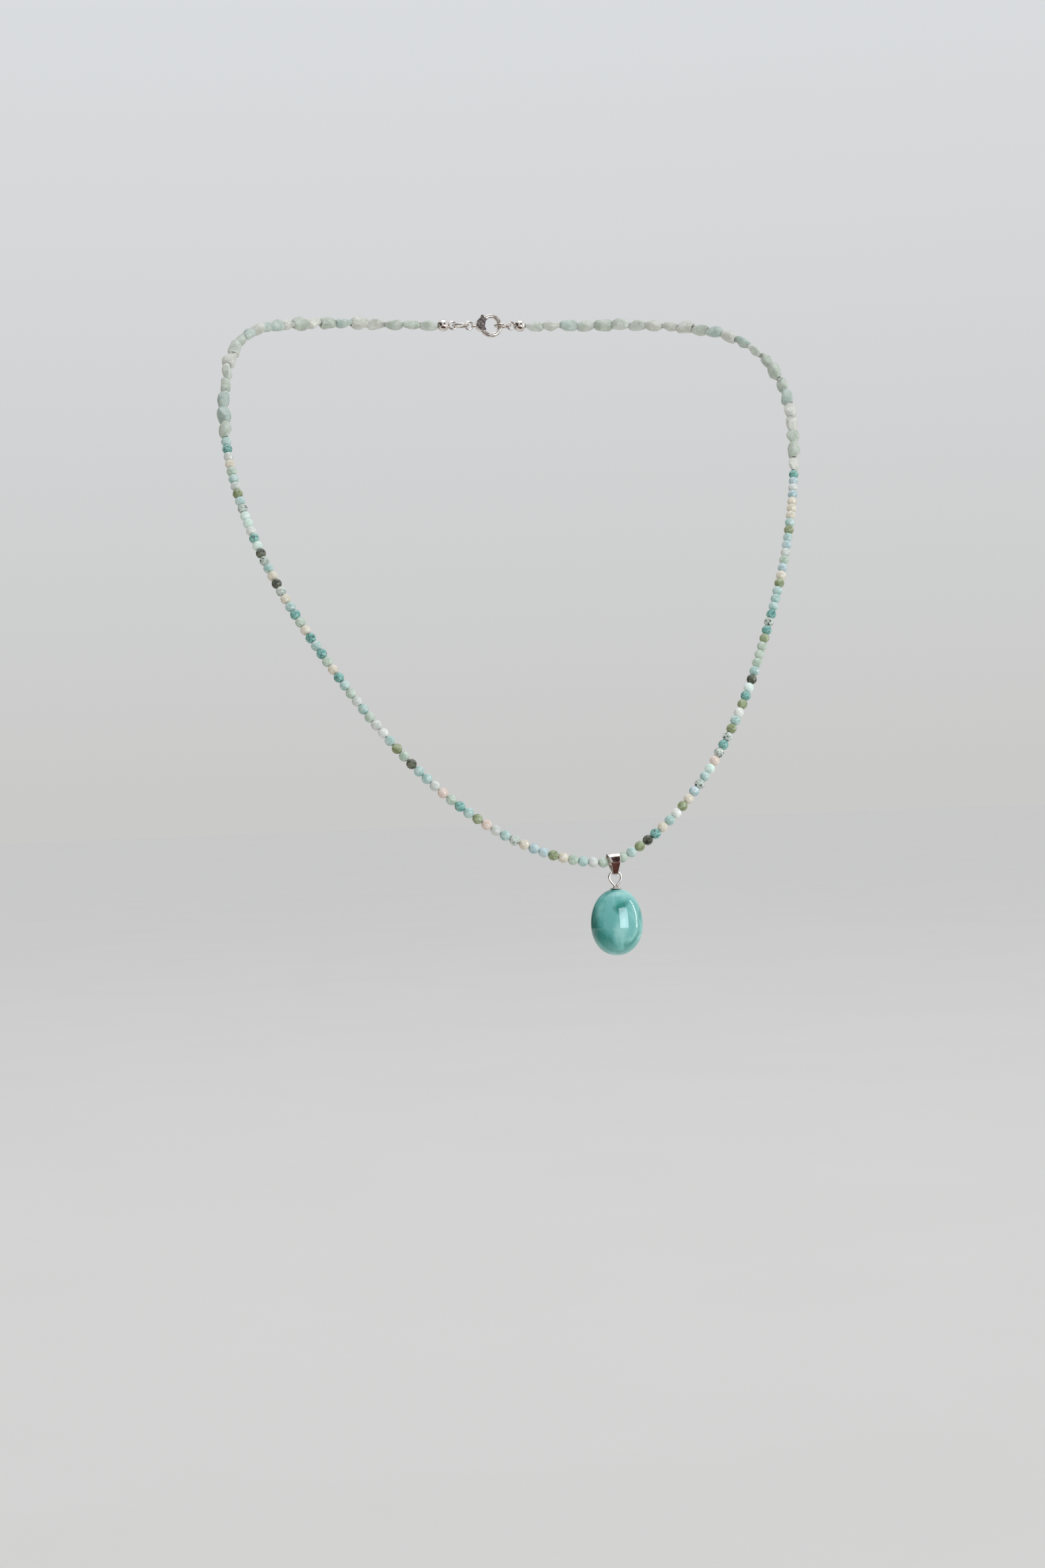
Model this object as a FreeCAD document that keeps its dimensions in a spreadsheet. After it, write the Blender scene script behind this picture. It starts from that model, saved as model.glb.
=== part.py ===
import FreeCAD, Part
import Sketcher
import math
import os

# Beaded gemstone necklace with a stone pendant on a folded bail.
# Millimetres, +Z up, the front of the necklace faces -Y, +X is the viewer's right.
# The origin is the middle of the neck opening, level with where the strand
# crosses the shoulders.

Vector = FreeCAD.Vector
Rotation = FreeCAD.Rotation
Placement = FreeCAD.Placement

AXIS_X = Vector(1, 0, 0)
AXIS_Y = Vector(0, 1, 0)
AXIS_Z = Vector(0, 0, 1)

# Driving dimensions: alias, value in mm or degrees.
SIZES = [
    ("WireDia", 0.40),
    ("BeadDia", 2.48),
    ("BeadBore", 0.90),
    ("BeadPitch", 2.42),
    ("NuggetLength", 4.64),
    ("NuggetPitch", 4.70),
    ("NuggetWideA", 3.9),
    ("NuggetWideB", 3.5),
    ("NuggetWideC", 4.1),
    ("NuggetThickA", 3.1),
    ("NuggetThickB", 3.4),
    ("NuggetThickC", 2.8),
    ("TipBallDia", 3.20),
    ("TipWall", 0.25),
    ("TipWireHole", 0.60),
    ("LoopRad", 1.00),
    ("LoopWire", 0.60),
    ("CrimpDia", 1.50),
    ("CrimpLength", 1.10),
    ("LinkRad", 2.00),
    ("LinkWire", 0.70),
    ("LinkSlack", 0.10),
    ("HookSlack", 0.30),
    ("SawCut", 0.12),
    ("EyeRad", 1.05),
    ("EyeWire", 0.60),
    ("HookRad", 2.55),
    ("HookWire", 1.30),
    ("HookReach", 6.10),
    ("HookSweep", 270.0),
    ("HookTipAngle", 82.0),
    ("GateReach", 3.55),
    ("GateGap", 0.12),
    ("HousingRad", 1.75),
    ("HousingWidth", 2.20),
    ("SlotWidth", 1.30),
    ("PivotAngle", 163.0),
    ("RivetDia", 0.70),
    ("RivetHeadDia", 1.10),
    ("RivetHeadHeight", 0.15),
    ("LeverGap", 0.10),
    ("LeverRootDia", 1.70),
    ("LeverWidth", 1.20),
    ("LeverWire", 1.10),
    ("LeverTipAngle", 64.0),
    ("SpringWire", 0.16),
    ("SpringDia", 1.04),
    ("SpringPitch", 0.18),
    ("SpringTurns", 2.0),
    ("BailTopRad", 1.86),
    ("BailBottomRad", 0.76),
    ("BailStrip", 0.36),
    ("BailDrop", 2.46),
    ("BailTopWidth", 3.10),
    ("BailBottomWidth", 1.00),
    ("BailEdge", 0.10),
    ("BailTilt", 5.0),
    ("EyeLoopRad", 1.40),
    ("EyeLoopWire", 0.50),
    ("EyeLoopDrop", 3.76),
    ("EyeLoopShift", 0.22),
    ("EyeLoopSweep", 270.0),
    ("PegDia", 0.94),
    ("PegTopDrop", 5.55),
    ("PegDepth", 4.00),
    ("StoneHole", 1.12),
    ("StoneHoleDepth", 4.20),
    ("StoneTopDrop", 6.35),
    ("StoneFlat", 0.35),
    ("StoneUpper", 8.60),
    ("StoneLower", 6.90),
    ("StoneHalfWidth", 6.05),
    ("StoneHalfDepth", 4.00),
    ("CupDia", 2.70),
    ("CupRim", 0.22),
    ("CupHeight", 0.60),
    ("CupHole", 0.98),
]

BEADS_LEFT = 64      # small beads from the bail to the viewer's left
BEADS_RIGHT = 52     # and to the viewer's right
BEAD_GROUPS_LEFT = 7
BEAD_GROUPS_RIGHT = 6
NUGGET_GROUPS = 4    # on each side

# The nape, where the clasp lies: x of the left bead tip, then y and z of the clasp.
TIP_LEFT_X = -7.0
NAPE_Y = 35.0
NAPE_Z = 10.0

# Corners of the stringing wire's route from the left bead tip, over the left
# shoulder, down to the bail and up to the right bead tip, without the last one.
ROUTE = [
    (TIP_LEFT_X, NAPE_Y, NAPE_Z),
    (-19.0, 35.0, 10.0),
    (-32.5, 32.5, 10.0),
    (-45.5, 26.0, 8.5),
    (-57.0, 15.5, 6.0),
    (-66.5, 2.0, 0.0),
    (-71.5, -9.0, -12.5),
    (-73.0, -19.5, -29.5),
    (-71.0, -32.0, -47.0),
    (-66.0, -45.0, -64.5),
    (-57.5, -56.0, -82.0),
    (-46.5, -65.5, -100.0),
    (-35.5, -71.0, -113.5),
    (-23.5, -73.5, -123.5),
    (-12.0, -73.5, -129.5),
    (-2.5, -72.5, -132.2),
    (6.0, -72.0, -133.0),
    (14.0, -71.5, -128.5),
    (23.0, -69.5, -121.5),
    (33.0, -65.0, -111.0),
    (43.0, -59.0, -96.5),
    (51.0, -52.0, -81.0),
    (58.5, -44.0, -66.0),
    (65.0, -34.5, -50.0),
    (70.5, -23.0, -35.0),
    (74.0, -12.0, -19.0),
    (72.5, -3.0, -7.0),
    (66.0, 5.5, 1.5),
    (59.0, 14.5, 5.5),
    (50.5, 23.5, 8.0),
    (39.5, 30.5, 9.5),
    (27.0, 35.0, 10.0),
]
BAIL_CORNER = 16     # the corner of ROUTE that the bail hangs from

doc = FreeCAD.newDocument("Necklace")
sheet = doc.addObject("Spreadsheet::Sheet", "Sizes")
for row, (alias, value) in enumerate(SIZES, start=1):
    sheet.set("A%d" % row, alias)
    sheet.set("B%d" % row, str(value))
    sheet.setAlias("B%d" % row, alias)
doc.recompute()

nodes = []           # the objects that are written out, one for each sub-part


def size(alias):
    return float(sheet.get(alias))


def add(kind, name, place=None, **bindings):
    """A document object whose properties are bound to the sheet."""
    item = doc.addObject(kind, name)
    for prop, formula in bindings.items():
        item.setExpression(prop, formula)
    if place:
        item.Placement = place
    return item


def join(kind, name, base, tool):
    """A boolean of two objects, Part::Cut, Part::Fuse or Part::Common."""
    item = doc.addObject(kind, name)
    item.Base = base
    item.Tool = tool
    return item


def fuse(name, *shapes):
    item = doc.addObject("Part::MultiFuse", name)
    item.Shapes = list(shapes)
    return item


def keep(item, label):
    """Marks an object as a sub-part under its own name."""
    item.Label = label
    nodes.append(item)
    return item


def at(x, y, z, turn=None):
    return Placement(Vector(x, y, z), turn or Rotation())


def along_y(x, z, width, y=NAPE_Y):
    """Where a cylinder of this height is centred on y with its axis along Y."""
    return at(x, y + width / 2.0, z, Rotation(AXIS_X, 90))


# ---------------------------------------------------------------- the wire

def tip_right_x():
    """Adds up the links of the clasp, pulled taut, from the left tip to the right."""
    gap = size("LinkSlack")
    link = size("LinkWire") / 2.0
    x = loop_x(TIP_LEFT_X, 1)
    x += size("LoopRad") - size("LoopWire") / 2.0 - link - gap + 2 * size("LinkRad")
    x += size("EyeRad") - size("EyeWire") / 2.0 - link - gap
    x += size("HookReach") + size("HookRad") - size("HookWire") / 2.0
    x += 2 * size("LinkRad") - link - size("HookSlack")
    x += size("LoopRad") - size("LoopWire") / 2.0 - link - gap
    return x + size("TipBallDia") / 2.0 + size("LoopRad") - gap


def loop_x(tip_x, side):
    """The centre of a bead tip's loop."""
    return tip_x + side * (size("TipBallDia") / 2.0 + size("LoopRad") - size("LinkSlack"))


def route_points():
    points = [Vector(*corner) for corner in ROUTE]
    points.append(Vector(round(tip_right_x(), 2), NAPE_Y, NAPE_Z))
    return points


def rounded_route(points):
    """Straight runs joined by tangent arcs, as large as the two runs allow."""
    edges = []
    radii = []
    start = points[0]
    for before, corner, after in zip(points, points[1:], points[2:]):
        back = before - corner
        ahead = after - corner
        turn = math.pi - back.getAngle(ahead)
        setback = 0.45 * min(back.Length, ahead.Length)
        radius = setback / math.tan(turn / 2.0)
        back.normalize()
        ahead.normalize()
        inward = back + ahead
        inward.normalize()
        to_centre = radius / math.cos(turn / 2.0)
        enter = corner + back * setback
        leave = corner + ahead * setback
        middle = corner + inward * (to_centre - radius)
        edges.append(Part.LineSegment(start, enter).toShape())
        edges.append(Part.Arc(enter, middle, leave).toShape())
        radii.append(radius)
        start = leave
    edges.append(Part.LineSegment(start, points[-1]).toShape())
    return edges, radii


class Strand:
    """Places along the wire by distance from its left end."""

    def __init__(self, edges):
        self.edges = edges
        self.length = sum(edge.Length for edge in edges)

    def frame(self, distance):
        for edge in self.edges:
            if distance <= edge.Length:
                break
            distance -= edge.Length
        parameter = edge.getParameterByLength(min(distance, edge.Length))
        return edge.valueAt(parameter), edge.tangentAt(parameter)


def make_stringing_wire(edges):
    radius = size("WireDia") / 2.0
    path = Part.Wire(edges)
    section = Part.Wire([Part.Circle(ROUTE_START, AXIS_X, radius).toShape()])
    tube = path.makePipeShell([section], True, False)
    wire = doc.addObject("Part::Feature", "StringingWire")
    wire.Shape = tube
    expected = math.pi * radius ** 2 * path.Length
    print("wire length %.1f mm, volume %.4f of section times length"
          % (path.Length, tube.Volume / expected))
    return keep(wire, "stringing_wire")


# ---------------------------------------------------- beads and nuggets

def make_bead():
    """One round bead with its bore along Z, copied along the wire by links."""
    ball = add("Part::Sphere", "BeadBall", Radius="Sizes.BeadDia / 2")
    bore = add("Part::Cylinder", "BeadBore", at(0, 0, -size("BeadDia")),
               Radius="Sizes.BeadBore / 2", Height="Sizes.BeadDia * 2")
    return join("Part::Cut", "Bead", ball, bore)


def make_nugget(letter, tilt):
    """A tumbled chip: an ellipsoid with four worn flats, bored along Z."""
    wide = "Sizes.NuggetWide" + letter
    thick = "Sizes.NuggetThick" + letter
    body = add("Part::Ellipsoid", "NuggetBody" + letter, Radius1="Sizes.NuggetLength / 2",
               Radius2=wide + " / 2", Radius3=thick + " / 2")
    flats = add("Part::Box", "NuggetFlats" + letter, Length=wide + " * 0.84",
                Width=thick + " * 0.86", Height="Sizes.NuggetLength * 1.1")
    turn = Rotation(AXIS_X, tilt)
    half = Vector(size("NuggetWide" + letter) * 0.42, size("NuggetThick" + letter) * 0.43,
                  size("NuggetLength") * 0.55)
    flats.Placement = Placement(turn.multVec(-half), turn)
    worn = join("Part::Common", "NuggetWorn" + letter, body, flats)
    bore = add("Part::Cylinder", "NuggetBore" + letter, at(0, 0, -size("NuggetLength")),
               Radius="Sizes.BeadBore / 2", Height="Sizes.NuggetLength * 2")
    return join("Part::Cut", "Nugget" + letter, worn, bore)


def string_group(label, strand, places):
    """A group of separate stones on the wire: (master, distance, roll) for each."""
    links = []
    for number, (master, distance, roll) in enumerate(places):
        point, tangent = strand.frame(distance)
        turn = Rotation(AXIS_Z, tangent) * Rotation(AXIS_Z, roll)
        link = doc.addObject("App::Link", "%s_%d" % (label, number))
        link.LinkedObject = master
        link.Placement = Placement(point, turn)
        links.append(link)
    group = doc.addObject("Part::Compound", "Group_" + label)
    group.Links = links
    return keep(group, label)


def split(items, groups):
    """Shares a list out into runs that differ in length by one at the most."""
    short, extra = divmod(len(items), groups)
    runs = []
    start = 0
    for number in range(groups):
        end = start + short + (1 if number < extra else 0)
        runs.append(items[start:end])
        start = end
    return runs


def string_side(strand, middle, side, beads, bead_groups, bead, nuggets):
    """Strings one side of the necklace, from the bail out to its bead tip."""
    name = "left" if side < 0 else "right"
    pitch = size("BeadPitch")
    places = [(bead, middle + side * pitch * number, 0) for number in range(1, beads + 1)]
    for number, run in enumerate(split(places, bead_groups), start=1):
        string_group("beads_%s_%d" % (name, number), strand, run)
    inner = pitch * (beads + 0.5)
    outer = (middle if side < 0 else strand.length - middle) - size("TipBallDia") / 2.0
    count = int((outer - inner) / size("NuggetPitch"))
    step = (outer - inner) / count
    places = []
    for number in range(count):
        distance = middle + side * (inner + step * (number + 0.5))
        places.append((nuggets[number % len(nuggets)], distance, 67 * number))
    for number, run in enumerate(split(places, NUGGET_GROUPS), start=1):
        string_group("nuggets_%s_%d" % (name, number), strand, run)
    print("%s side: %d beads, %d nuggets at %.2f mm" % (name, beads, count, step))


# -------------------------------------------------------- the wire's two ends

def end_place(x, side, turn=None):
    """A place at one end of the wire whose own X points at the clasp."""
    facing = Rotation(AXIS_Z, 0 if side > 0 else 180)
    return Placement(Vector(x, NAPE_Y, NAPE_Z), facing * (turn or Rotation()))


def make_bead_tip(label, x, side):
    """A closed bead tip: a hollow ball over the crimp, with a loop for a link."""
    ball = end_place(x, side)
    shell = add("Part::Sphere", label + "_ball", ball, Radius="Sizes.TipBallDia / 2")
    loop = add("Part::Torus", label + "_loop",
               end_place(loop_x(x, side), side, Rotation(AXIS_X, 90)),
               Radius1="Sizes.LoopRad", Radius2="Sizes.LoopWire / 2")
    hollow = add("Part::Sphere", label + "_hollow", ball,
                 Radius="Sizes.TipBallDia / 2 - Sizes.TipWall")
    hole = add("Part::Cylinder", label + "_hole", end_place(x, side, Rotation(AXIS_Y, -90)),
               Radius="Sizes.TipWireHole / 2", Height="Sizes.TipBallDia")
    whole = fuse(label + "_whole", shell, loop)
    inside = fuse(label + "_inside", hollow, hole)
    return keep(join("Part::Cut", label + "_cut", whole, inside), label)


def make_crimp(label, x, side):
    """The crimp bead squeezed on the end of the wire, inside the bead tip."""
    place = end_place(x + side * 0.1, side, Rotation(AXIS_Y, -90))
    tube = add("Part::Cylinder", label + "_tube", place,
               Radius="Sizes.CrimpDia / 2", Height="Sizes.CrimpLength")
    bore = add("Part::Cylinder", label + "_bore", place,
               Radius="Sizes.WireDia / 2", Height="Sizes.CrimpLength")
    return keep(join("Part::Cut", label + "_cut", tube, bore), label)


# --------------------------------------------------------------- the clasp

def link_x(left):
    """The centre of the jump ring on the left, or of the closed ring on the right."""
    link = size("LinkWire") / 2.0
    hole = size("LoopRad") - size("LoopWire") / 2.0
    reach = size("LinkRad") - link - size("LinkSlack")
    if left:
        return loop_x(TIP_LEFT_X, 1) + hole + reach
    return loop_x(ROUTE_END.x, -1) - hole - reach


def make_jump_ring():
    """The open ring that ties the clasp to the left bead tip, with its saw cut."""
    x = link_x(True)
    ring = add("Part::Torus", "JumpRingWire", at(x, NAPE_Y, NAPE_Z),
               Radius1="Sizes.LinkRad", Radius2="Sizes.LinkWire / 2")
    cut = add("Part::Box", "JumpRingCut",
              at(x - size("SawCut") / 2.0, NAPE_Y, NAPE_Z - size("LinkWire")),
              Length="Sizes.SawCut", Width="Sizes.LinkRad * 2", Height="Sizes.LinkWire * 2")
    return keep(join("Part::Cut", "JumpRing", ring, cut), "jump_ring")


def make_end_ring():
    """The closed ring on the right bead tip, which the clasp hooks."""
    ring = add("Part::Torus", "EndRing", at(link_x(False), NAPE_Y, NAPE_Z),
               Radius1="Sizes.LinkRad", Radius2="Sizes.LinkWire / 2")
    return keep(ring, "end_ring")


def clasp_eye_x():
    hole = size("EyeRad") - size("EyeWire") / 2.0
    reach = size("LinkRad") - size("LinkWire") / 2.0 - size("LinkSlack")
    return link_x(True) + reach + hole


def clasp_pivot():
    """The rivet's x and z, on the hook's own circle."""
    angle = math.radians(size("PivotAngle"))
    x = clasp_eye_x() + size("HookReach") + size("HookRad") * math.cos(angle)
    return x, NAPE_Z + size("HookRad") * math.sin(angle)


def hook_turn(angle):
    """Stands a torus in the XZ plane with its sweep starting at this angle."""
    return Rotation(AXIS_X, 90) * Rotation(AXIS_Z, angle)


def make_clasp_body():
    """The lobster clasp's eye, housing and hook, slotted and bored for its lever."""
    eye_x = clasp_eye_x()
    hook_x = eye_x + size("HookReach")
    pivot_x, pivot_z = clasp_pivot()
    eye = add("Part::Torus", "ClaspEye", at(eye_x, NAPE_Y, NAPE_Z, Rotation(AXIS_X, 90)),
              Radius1="Sizes.EyeRad", Radius2="Sizes.EyeWire / 2")
    start = size("HookTipAngle") - size("HookSweep")
    hook = add("Part::Torus", "ClaspHook", at(hook_x, NAPE_Y, NAPE_Z, hook_turn(start)),
               Radius1="Sizes.HookRad", Radius2="Sizes.HookWire / 2", Angle3="Sizes.HookSweep")
    width = size("HousingWidth")
    housing = add("Part::Cylinder", "ClaspHousing",
                  along_y(pivot_x, pivot_z - 0.45, width),
                  Radius="Sizes.HousingRad", Height="Sizes.HousingWidth")
    neck = add("Part::Cylinder", "ClaspNeck",
               at(eye_x + size("EyeRad"), NAPE_Y, NAPE_Z, Rotation(AXIS_Y, 90)),
               Radius="Sizes.EyeWire * 0.8", Height="Sizes.HousingRad")
    blank = fuse("ClaspBlank", eye, hook, housing, neck)
    opening = add("Part::Cylinder", "ClaspOpening", along_y(hook_x, NAPE_Z, width),
                  Radius="Sizes.HookRad - Sizes.HookWire / 2", Height="Sizes.HousingWidth")
    slot_floor = size("LeverRootDia") / 2.0 + size("LeverGap")
    slot = add("Part::Box", "ClaspSlot",
               at(pivot_x - slot_floor, NAPE_Y - size("SlotWidth") / 2.0, pivot_z - slot_floor),
               Length="Sizes.HousingRad * 2.4", Width="Sizes.SlotWidth",
               Height="Sizes.HousingRad * 2")
    rivet_hole = add("Part::Cylinder", "ClaspRivetHole", along_y(pivot_x, pivot_z, width),
                     Radius="Sizes.RivetDia / 2", Height="Sizes.HousingWidth")
    gate_sweep = add("Part::Cylinder", "ClaspGateSweep", along_y(pivot_x, pivot_z, width),
                     Radius="Sizes.GateReach + Sizes.GateGap", Height="Sizes.HousingWidth")
    gate_side = add("Part::Box", "ClaspGateSide",
                    at(hook_x - 0.2, NAPE_Y - width / 2.0, NAPE_Z + 1.0),
                    Length="Sizes.HookRad * 2", Width="Sizes.HousingWidth",
                    Height="Sizes.HookRad * 2")
    gate_end = join("Part::Common", "ClaspGateEnd", gate_sweep, gate_side)
    cuts = fuse("ClaspCuts", opening, slot, rivet_hole, gate_end)
    return keep(join("Part::Cut", "ClaspCut", blank, cuts), "clasp_body")


def make_clasp_lever():
    """The sprung gate: a root disc on the rivet, a curved arm and a thumb tab."""
    hook_x = clasp_eye_x() + size("HookReach")
    pivot_x, pivot_z = clasp_pivot()
    width = size("LeverWidth")
    root = add("Part::Cylinder", "LeverRoot", along_y(pivot_x, pivot_z, width),
               Radius="Sizes.LeverRootDia / 2", Height="Sizes.LeverWidth")
    arm = add("Part::Torus", "LeverArm",
              at(hook_x, NAPE_Y, NAPE_Z, hook_turn(size("LeverTipAngle"))),
              Radius1="Sizes.HookRad", Radius2="Sizes.LeverWire / 2",
              Angle3="Sizes.PivotAngle - Sizes.LeverTipAngle")
    tab_angle = math.radians(0.72 * size("PivotAngle") + 0.28 * size("LeverTipAngle"))
    tab_reach = size("HookRad") + size("LeverWire") * 0.75
    tab = add("Part::Cylinder", "LeverTab",
              along_y(hook_x + tab_reach * math.cos(tab_angle),
                      NAPE_Z + tab_reach * math.sin(tab_angle), width),
              Radius="Sizes.LeverWire * 0.42", Height="Sizes.LeverWidth")
    blank = fuse("LeverBlank", root, arm, tab)
    bore = add("Part::Cylinder", "LeverBore", along_y(pivot_x, pivot_z, width),
               Radius="Sizes.RivetDia / 2 + 0.05", Height="Sizes.LeverWidth")
    pocket = add("Part::Cylinder", "LeverPocket",
                 along_y(pivot_x, pivot_z, width / 2.0, NAPE_Y + width / 4.0),
                 Radius="Sizes.SpringDia / 2 + Sizes.SpringWire / 2 + 0.05",
                 Height="Sizes.LeverWidth / 2")
    cuts = fuse("LeverCuts", bore, pocket)
    reach = add("Part::Cylinder", "LeverReach", along_y(pivot_x, pivot_z, width),
                Radius="Sizes.GateReach", Height="Sizes.LeverWidth")
    whole = join("Part::Cut", "LeverCut", blank, cuts)
    return keep(join("Part::Common", "LeverTrimmed", whole, reach), "clasp_lever")


def make_clasp_rivet():
    """The rivet through both cheeks, with a low head at each end."""
    pivot_x, pivot_z = clasp_pivot()
    width = size("HousingWidth")
    head = size("RivetHeadHeight")
    shank = add("Part::Cylinder", "RivetShank", along_y(pivot_x, pivot_z, width),
                Radius="Sizes.RivetDia / 2", Height="Sizes.HousingWidth")
    parts = [shank]
    for side in (-1, 1):
        y = NAPE_Y + side * (width + head) / 2.0
        parts.append(add("Part::Cylinder", "RivetHead%d" % (side + 1),
                         along_y(pivot_x, pivot_z, head, y),
                         Radius="Sizes.RivetHeadDia / 2", Height="Sizes.RivetHeadHeight"))
    return keep(fuse("Rivet", *parts), "clasp_rivet")


def make_lever_spring():
    """The coil round the rivet that shuts the lever, in the pocket of its root."""
    pivot_x, pivot_z = clasp_pivot()
    radius = size("SpringDia") / 2.0
    steps = 48
    points = []
    for step in range(steps + 1):
        turned = size("SpringTurns") * step / steps
        angle = 2 * math.pi * turned
        points.append(Vector(radius * math.cos(angle), radius * math.sin(angle),
                             size("SpringPitch") * turned))
    coil = Part.BSplineCurve()
    coil.interpolate(points)
    start = coil.tangent(coil.FirstParameter)[0]
    round_wire = Part.Circle(points[0], start, size("SpringWire") / 2.0)
    corners = [round_wire.value(2 * math.pi * corner / 8) for corner in range(9)]
    section = Part.makePolygon(corners[:8] + [corners[0]])
    spring = doc.addObject("Part::Feature", "LeverSpring")
    spring.Shape = Part.Wire([coil.toShape()]).makePipeShell([section], True, True)
    y = NAPE_Y + size("SlotWidth") / 2.0 - 0.18
    spring.Placement = at(pivot_x, y, pivot_z, Rotation(AXIS_X, 90))
    return keep(spring, "lever_spring")


# ------------------------------------------------------- bail and pendant

def strap_outline(sketch, radius_big, radius_small, drop, prefix):
    """A teardrop loop: two arcs joined by their outer tangents, fully constrained."""
    lean = math.asin((radius_big - radius_small) / drop)
    low = Vector(0, -drop, 0)
    side = Vector(math.cos(lean), -math.sin(lean), 0)
    mirror = Vector(-side.x, side.y, 0)
    top = Part.ArcOfCircle(Part.Circle(Vector(), AXIS_Z, radius_big), -lean, math.pi + lean)
    base = Part.ArcOfCircle(Part.Circle(low, AXIS_Z, radius_small),
                            math.pi + lean, 2 * math.pi - lean)
    left = Part.LineSegment(mirror * radius_big, low + mirror * radius_small)
    right = Part.LineSegment(low + side * radius_small, side * radius_big)
    first = sketch.addGeometry([top, left, base, right], False)[0]
    ids = [first + step for step in range(4)]
    constrain = sketch.addConstraint
    constrain(Sketcher.Constraint("Tangent", ids[0], 2, ids[1], 1))
    constrain(Sketcher.Constraint("Tangent", ids[1], 2, ids[2], 1))
    constrain(Sketcher.Constraint("Tangent", ids[2], 2, ids[3], 1))
    constrain(Sketcher.Constraint("Tangent", ids[3], 2, ids[0], 1))
    constrain(Sketcher.Constraint("Coincident", ids[0], 3, -1, 1))
    constrain(Sketcher.Constraint("PointOnObject", ids[2], 3, -2))
    big = constrain(Sketcher.Constraint("Radius", ids[0], radius_big))
    small = constrain(Sketcher.Constraint("Radius", ids[2], radius_small))
    fall = constrain(Sketcher.Constraint("DistanceY", ids[2], 3, -1, 1, drop))
    for number, name in ((big, "Big"), (small, "Small"), (fall, "Drop")):
        sketch.renameConstraint(number, prefix + name)


def body_plane(body, role):
    for feature in body.Origin.OriginFeatures:
        if feature.Role == role:
            return feature
    raise ValueError("no plane " + role)


def new_sketch(body, name, role):
    sketch = body.newObject("Sketcher::SketchObject", name)
    sketch.AttachmentSupport = [(body_plane(body, role), "")]
    sketch.MapMode = "FlatFace"
    return sketch


def make_bail(point):
    """A strip folded over the bead inside it, wide at the top, shut at the bottom."""
    body = doc.addObject("PartDesign::Body", "Bail")
    loop = new_sketch(body, "BailLoop", "YZ_Plane")
    strip = size("BailStrip")
    strap_outline(loop, size("BailTopRad"), size("BailBottomRad"), size("BailDrop"), "Outer")
    strap_outline(loop, size("BailTopRad") - strip, size("BailBottomRad") - strip,
                  size("BailDrop"), "Inner")
    loop.setExpression("Constraints.OuterBig", "Sizes.BailTopRad")
    loop.setExpression("Constraints.OuterSmall", "Sizes.BailBottomRad")
    loop.setExpression("Constraints.OuterDrop", "Sizes.BailDrop")
    loop.setExpression("Constraints.InnerBig", "Sizes.BailTopRad - Sizes.BailStrip")
    loop.setExpression("Constraints.InnerSmall", "Sizes.BailBottomRad - Sizes.BailStrip")
    loop.setExpression("Constraints.InnerDrop", "Sizes.BailDrop")
    pad = body.newObject("PartDesign::Pad", "BailStripPad")
    pad.Profile = loop
    pad.setExpression("Length", "Sizes.BailTopWidth")
    pad.Midplane = True
    doc.recompute()
    taper = new_sketch(body, "BailTaper", "XZ_Plane")
    low = -size("BailDrop") - size("BailBottomRad")
    top_half = size("BailTopWidth") / 2.0
    low_half = size("BailBottomWidth") / 2.0
    outside = top_half + 1.0
    for side in (-1, 1):
        corners = [Vector(side * top_half, 0.6, 0), Vector(side * low_half, low, 0),
                   Vector(side * low_half, low - 1, 0), Vector(side * outside, low - 1, 0),
                   Vector(side * outside, 0.6, 0)]
        for start, end in zip(corners, corners[1:] + corners[:1]):
            taper.addGeometry(Part.LineSegment(start, end), False)
    pocket = body.newObject("PartDesign::Pocket", "BailTaperCut")
    pocket.Profile = taper
    pocket.Type = "ThroughAll"
    pocket.Midplane = True
    doc.recompute()
    rim = body.newObject("PartDesign::Fillet", "BailSoftEdges")
    faces = [number for number, face in enumerate(pocket.Shape.Faces, start=1)
             if abs(face.normalAt(0, 0).x) > 0.5]
    rim.Base = (pocket, ["Face%d" % number for number in faces])
    rim.setExpression("Radius", "Sizes.BailEdge")
    body.Placement = Placement(point, Rotation(AXIS_Y, -size("BailTilt")))
    return keep(body, "bail")


def make_eye_peg(point):
    """The pendant's eye: a teardrop loop of wire on the peg that holds the stone."""
    centre = point - AXIS_Z * size("EyeLoopDrop")
    sweep = size("EyeLoopSweep")
    start = 90 - sweep / 2.0
    ring = add("Part::Torus", "EyeLoopRing", Placement(centre, hook_turn(start)),
               Radius1="Sizes.EyeLoopRad", Radius2="Sizes.EyeLoopWire / 2",
               Angle3="Sizes.EyeLoopSweep")
    pieces = [ring]
    for side in (-1, 1):
        angle = math.radians(90 + side * sweep / 2.0)
        foot = centre + Vector(math.cos(angle), 0, math.sin(angle)) * size("EyeLoopRad")
        heading = Vector(-foot.x + centre.x, 0, -abs(foot.x - centre.x))
        pieces.append(add("Part::Cylinder", "EyeLeg%d" % (side + 1),
                          Placement(foot, Rotation(AXIS_Z, heading)),
                          Radius="Sizes.EyeLoopWire / 2", Height="Sizes.EyeLoopRad"))
    peg_low = size("StoneTopDrop") + size("PegDepth")
    pieces.append(add("Part::Cylinder", "PegShank", Placement(point - AXIS_Z * peg_low, Rotation()),
                      Radius="Sizes.PegDia / 2",
                      Height="Sizes.StoneTopDrop + Sizes.PegDepth - Sizes.PegTopDrop"))
    return keep(fuse("EyePeg", *pieces), "eye_peg")


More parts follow.
